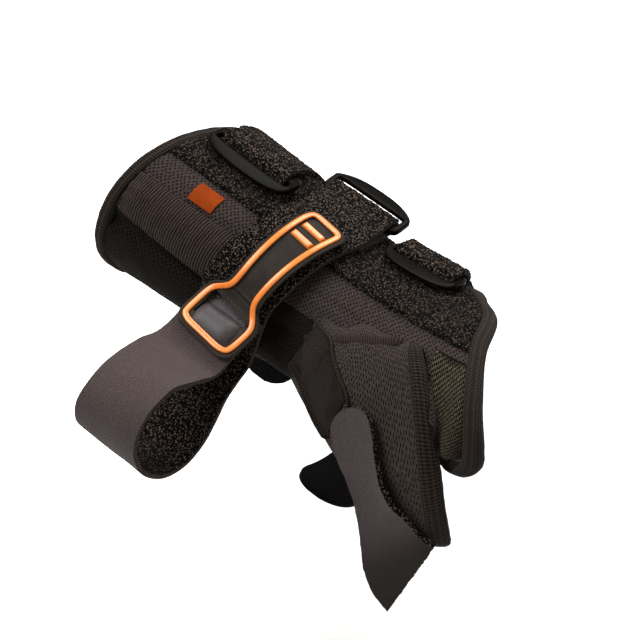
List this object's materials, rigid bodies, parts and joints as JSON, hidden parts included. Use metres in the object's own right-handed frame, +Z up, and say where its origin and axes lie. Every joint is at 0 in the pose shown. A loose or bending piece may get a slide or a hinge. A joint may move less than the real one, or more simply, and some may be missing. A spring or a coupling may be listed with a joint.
{
  "type": "thumb spica splint",
  "caption": "Wrist and thumb splint: laminate sleeve with thumb sheath, turn-back straps through rings, hanging strap ends and a shaped pull tab.",
  "frame": {"origin": "the middle of the wrist inside the sleeve, where the splint is held while worn", "axes": "+X along the arm towards the hand, +Z up from the back of the wrist, -Y towards the thumb"},
  "size_m": [0.1934, 0.1543, 0.1439],
  "materials": {
    "laminate": "matt perforated padded fabric laminate",
    "binding": "ribbed woven binding tape",
    "loop_pile": "fuzzy brushed loop pile",
    "webbing": "finely ribbed webbing",
    "label": "matt printed patch, bare",
    "gauze": "open knitted mesh",
    "ring_plastic": "smooth moulded, semi-gloss",
    "elastic": "smooth knitted elastic",
    "hook_tape": "stiff hook tape",
    "tab_rubber": "soft matt moulded rubber",
    "trim_rubber": "soft matt moulded rubber, raised"
  },
  "bodies": {
    "root": {"sleeve_shell": "laminate", "thumb_sheath": "laminate", "forearm_binding": "binding", "hand_binding": "binding", "thumb_binding": "binding", "loop_panel": "loop_pile", "strap_forearm": "loop_pile", "strap_hand": "loop_pile", "stay_pocket": "webbing", "label": "label", "web_gauze": "gauze", "ring_forearm": "ring_plastic", "ring_wrist": "ring_plastic", "ring_hand": "ring_plastic", "strap_wrist": "elastic", "thumb_strap": "elastic", "hook_tab_forearm": "hook_tape", "hook_tab_hand": "hook_tape", "pull_tab": "tab_rubber", "tab_trim": "trim_rubber"}
  },
  "joints": []
}
